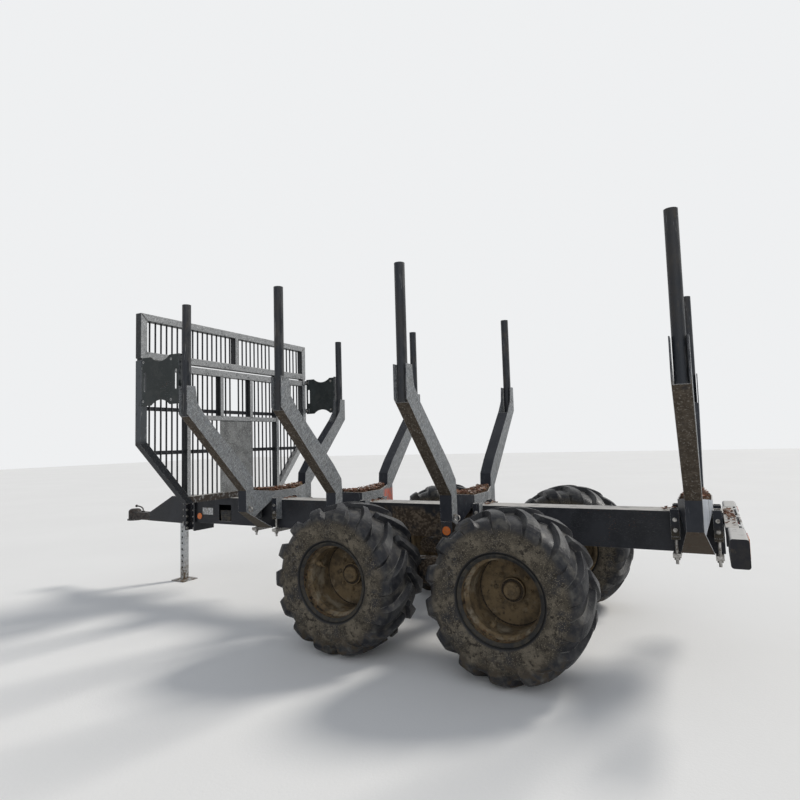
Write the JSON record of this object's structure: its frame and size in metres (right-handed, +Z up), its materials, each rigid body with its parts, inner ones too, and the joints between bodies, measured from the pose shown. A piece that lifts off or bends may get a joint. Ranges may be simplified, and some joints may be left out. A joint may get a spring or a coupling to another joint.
{
  "type": "forestry trailer",
  "caption": "Timber trailer with a box beam, clamped bunks with stake poles, a barred headboard and a tandem bogie, parked on its jack.",
  "frame": {"origin": "on the ground, under the middle of the overall box", "axes": "+X forward to the coupling, +Y to the left side, +Z up"},
  "size_m": [6.913, 2.58, 3],
  "materials": {
    "frame_paint": "satin anthracite paint, scratched",
    "bunk_paint": "worn dark grey paint with rust",
    "pole_steel": "worn dark paint over steel",
    "headboard_paint": "worn light grey paint",
    "grille_paint": "dark paint",
    "side_plate_paint": "dark green-grey paint",
    "coupling_steel": "dark forged steel",
    "bolt_steel": "zinc plated, dull",
    "guard_steel": "galvanised",
    "chock_plastic": "black",
    "lamp_plastic": "black housing",
    "lens_plastic": "red lens",
    "reflector_plastic": "orange",
    "tyre_rubber": "dusty black rubber",
    "rim_paint": "muddy",
    "hub_paint": "muddy"
  },
  "bodies": {
    "frame": {"main_beam": "frame_paint", "drawbar": "frame_paint", "drawbar_bracket": "frame_paint", "bogie_axle": "frame_paint", "bogie_beam_left": "frame_paint", "bogie_beam_right": "frame_paint", "light_bar": "frame_paint", "jack_sleeve": "frame_paint", "reflector_brackets": "frame_paint", "bunk_1": "bunk_paint", "bunk_2": "bunk_paint", "bunk_3": "bunk_paint", "bunk_4": "bunk_paint", "stake_poles_1": "pole_steel", "stake_poles_2": "pole_steel", "stake_poles_3": "pole_steel", "stake_poles_4": "pole_steel", "headboard_upper": "headboard_paint", "headboard_lower": "headboard_paint", "headboard_plate": "headboard_paint", "grille_upper": "grille_paint", "grille_lower": "grille_paint", "side_plate_left": "side_plate_paint", "side_plate_right": "side_plate_paint", "ball_coupling": "coupling_steel", "clamps_1": "bolt_steel", "clamps_2": "bolt_steel", "clamps_3": "bolt_steel", "clamps_4": "bolt_steel", "jack_pin": "bolt_steel", "light_guard": "guard_steel", "jack_leg": "guard_steel", "wheel_chock": "chock_plastic", "lamp_housings": "lamp_plastic", "tail_lenses": "lens_plastic", "side_reflectors": "reflector_plastic"},
    "wheel_front_left": {"tyre_front_left": "tyre_rubber", "rim_front_left": "rim_paint", "hub_front_left": "hub_paint"},
    "wheel_rear_left": {"tyre_rear_left": "tyre_rubber", "rim_rear_left": "rim_paint", "hub_rear_left": "hub_paint"},
    "wheel_front_right": {"tyre_front_right": "tyre_rubber", "rim_front_right": "rim_paint", "hub_front_right": "hub_paint"},
    "wheel_rear_right": {"tyre_rear_right": "tyre_rubber", "rim_rear_right": "rim_paint", "hub_rear_right": "hub_paint"}
  },
  "joints": [
    {"name": "wheel_front_left_spin", "type": "hinge", "parent": "frame", "child": "wheel_front_left", "pos_m": [-0.6175, 0.975, 0.586], "axis": [0, 1, 0], "continuous": true},
    {"name": "wheel_rear_left_spin", "type": "hinge", "parent": "frame", "child": "wheel_rear_left", "pos_m": [-1.9835, 0.975, 0.586], "axis": [0, 1, 0], "continuous": true},
    {"name": "wheel_front_right_spin", "type": "hinge", "parent": "frame", "child": "wheel_front_right", "pos_m": [-0.6175, -0.975, 0.586], "axis": [0, 1, 0], "continuous": true},
    {"name": "wheel_rear_right_spin", "type": "hinge", "parent": "frame", "child": "wheel_rear_right", "pos_m": [-1.9835, -0.975, 0.586], "axis": [0, 1, 0], "continuous": true}
  ]
}
